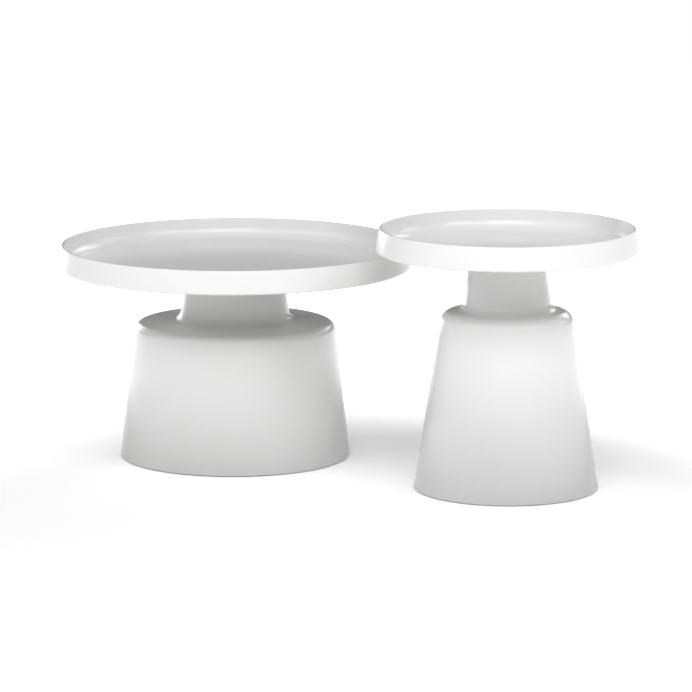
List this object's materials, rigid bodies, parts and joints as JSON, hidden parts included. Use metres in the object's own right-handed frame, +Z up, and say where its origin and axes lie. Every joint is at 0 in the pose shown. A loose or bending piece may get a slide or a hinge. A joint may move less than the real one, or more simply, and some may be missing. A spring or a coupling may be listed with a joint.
{
  "type": "nesting tables",
  "caption": "Pair of round nesting tables: dished trays with raised rims on stepped tapered pedestals; the taller, smaller one slides over the lower.",
  "frame": {"origin": "on the floor, at the middle of the pair's overall box", "axes": "+X from the large table's axis to the small table's axis, +Z up, +Y to the left when facing along +X"},
  "size_m": [1.2176, 0.6986, 0.505],
  "materials": {
    "white_powder_coat": "white satin powder coat on spun sheet steel",
    "grey_panel": "fibreboard faced with pale grey melamine film",
    "plate_steel": "hot-rolled plate steel, oiled",
    "base_plate_coat": "black textured powder coat",
    "zinc_steel": "bright zinc plating",
    "black_nylon": "moulded black nylon",
    "grey_felt": "pressed wool felt"
  },
  "bodies": {
    "large_table": {"large_tray": "white_powder_coat", "large_tray_panel": "grey_panel", "large_mount_plate": "plate_steel", "large_pedestal": "white_powder_coat", "large_neck_ring": "plate_steel", "large_neck_washers": "zinc_steel", "large_neck_bolts": "zinc_steel", "large_base_ring": "plate_steel", "large_base_plate": "base_plate_coat", "large_base_bolts": "zinc_steel", "large_leveller_nuts": "zinc_steel"},
    "small_table": {"small_tray": "white_powder_coat", "small_tray_panel": "grey_panel", "small_mount_plate": "plate_steel", "small_pedestal": "white_powder_coat", "small_neck_ring": "plate_steel", "small_neck_washers": "zinc_steel", "small_neck_bolts": "zinc_steel", "small_base_ring": "plate_steel", "small_base_plate": "base_plate_coat", "small_base_bolts": "zinc_steel", "small_leveller_nuts": "zinc_steel"},
    "large_foot_1": {"large_leveller_pad_1": "black_nylon", "large_leveller_felt_1": "grey_felt"},
    "large_stem_1": {"large_leveller_stem_1": "zinc_steel"},
    "large_foot_2": {"large_leveller_pad_2": "black_nylon", "large_leveller_felt_2": "grey_felt"},
    "large_stem_2": {"large_leveller_stem_2": "zinc_steel"},
    "large_foot_3": {"large_leveller_pad_3": "black_nylon", "large_leveller_felt_3": "grey_felt"},
    "large_stem_3": {"large_leveller_stem_3": "zinc_steel"},
    "large_foot_4": {"large_leveller_pad_4": "black_nylon", "large_leveller_felt_4": "grey_felt"},
    "large_stem_4": {"large_leveller_stem_4": "zinc_steel"},
    "small_foot_1": {"small_leveller_pad_1": "black_nylon", "small_leveller_felt_1": "grey_felt"},
    "small_stem_1": {"small_leveller_stem_1": "zinc_steel"},
    "small_foot_2": {"small_leveller_pad_2": "black_nylon", "small_leveller_felt_2": "grey_felt"},
    "small_stem_2": {"small_leveller_stem_2": "zinc_steel"},
    "small_foot_3": {"small_leveller_pad_3": "black_nylon", "small_leveller_felt_3": "grey_felt"},
    "small_stem_3": {"small_leveller_stem_3": "zinc_steel"},
    "small_foot_4": {"small_leveller_pad_4": "black_nylon", "small_leveller_felt_4": "grey_felt"},
    "small_stem_4": {"small_leveller_stem_4": "zinc_steel"}
  },
  "joints": [
    {"name": "nest_slide", "type": "slide", "parent": "large_table", "child": "small_table", "axis": [-1, 0, 0], "range_m": [-0.2, 0.179]},
    {"name": "large_leveller_drop_1", "type": "slide", "parent": "large_table", "child": "large_foot_1", "axis": [0, 0, -1], "range_m": [0, 0.008]},
    {"name": "large_leveller_turn_1", "type": "hinge", "parent": "large_foot_1", "child": "large_stem_1", "pos_m": [-0.1134, 0.1461, 0.0042], "axis": [0, 0, -1], "range_deg": [0, 2304]},
    {"name": "large_leveller_drop_2", "type": "slide", "parent": "large_table", "child": "large_foot_2", "axis": [0, 0, -1], "range_m": [0, 0.008]},
    {"name": "large_leveller_turn_2", "type": "hinge", "parent": "large_foot_2", "child": "large_stem_2", "pos_m": [-0.4056, 0.1461, 0.0042], "axis": [0, 0, -1], "range_deg": [0, 2304]},
    {"name": "large_leveller_drop_3", "type": "slide", "parent": "large_table", "child": "large_foot_3", "axis": [0, 0, -1], "range_m": [0, 0.008]},
    {"name": "large_leveller_turn_3", "type": "hinge", "parent": "large_foot_3", "child": "large_stem_3", "pos_m": [-0.4056, -0.1461, 0.0042], "axis": [0, 0, -1], "range_deg": [0, 2304]},
    {"name": "large_leveller_drop_4", "type": "slide", "parent": "large_table", "child": "large_foot_4", "axis": [0, 0, -1], "range_m": [0, 0.008]},
    {"name": "large_leveller_turn_4", "type": "hinge", "parent": "large_foot_4", "child": "large_stem_4", "pos_m": [-0.1134, -0.1461, 0.0042], "axis": [0, 0, -1], "range_deg": [0, 2304]},
    {"name": "small_leveller_drop_1", "type": "slide", "parent": "small_table", "child": "small_foot_1", "axis": [0, 0, -1], "range_m": [0, 0.008]},
    {"name": "small_leveller_turn_1", "type": "hinge", "parent": "small_foot_1", "child": "small_stem_1", "pos_m": [0.46732, 0.10983, 0.0042], "axis": [0, 0, -1], "range_deg": [0, 2304]},
    {"name": "small_leveller_drop_2", "type": "slide", "parent": "small_table", "child": "small_foot_2", "axis": [0, 0, -1], "range_m": [0, 0.008]},
    {"name": "small_leveller_turn_2", "type": "hinge", "parent": "small_foot_2", "child": "small_stem_2", "pos_m": [0.24768, 0.10983, 0.0042], "axis": [0, 0, -1], "range_deg": [0, 2304]},
    {"name": "small_leveller_drop_3", "type": "slide", "parent": "small_table", "child": "small_foot_3", "axis": [0, 0, -1], "range_m": [0, 0.008]},
    {"name": "small_leveller_turn_3", "type": "hinge", "parent": "small_foot_3", "child": "small_stem_3", "pos_m": [0.24768, -0.10983, 0.0042], "axis": [0, 0, -1], "range_deg": [0, 2304]},
    {"name": "small_leveller_drop_4", "type": "slide", "parent": "small_table", "child": "small_foot_4", "axis": [0, 0, -1], "range_m": [0, 0.008]},
    {"name": "small_leveller_turn_4", "type": "hinge", "parent": "small_foot_4", "child": "small_stem_4", "pos_m": [0.46732, -0.10983, 0.0042], "axis": [0, 0, -1], "range_deg": [0, 2304]}
  ],
  "couplings": [
    {"joint": "large_leveller_drop_1", "follows": "large_leveller_turn_1", "m_per_rad": 0.00019894},
    {"joint": "large_leveller_drop_2", "follows": "large_leveller_turn_2", "m_per_rad": 0.00019894},
    {"joint": "large_leveller_drop_3", "follows": "large_leveller_turn_3", "m_per_rad": 0.00019894},
    {"joint": "large_leveller_drop_4", "follows": "large_leveller_turn_4", "m_per_rad": 0.00019894},
    {"joint": "small_leveller_drop_1", "follows": "small_leveller_turn_1", "m_per_rad": 0.00019894},
    {"joint": "small_leveller_drop_2", "follows": "small_leveller_turn_2", "m_per_rad": 0.00019894},
    {"joint": "small_leveller_drop_3", "follows": "small_leveller_turn_3", "m_per_rad": 0.00019894},
    {"joint": "small_leveller_drop_4", "follows": "small_leveller_turn_4", "m_per_rad": 0.00019894}
  ]
}
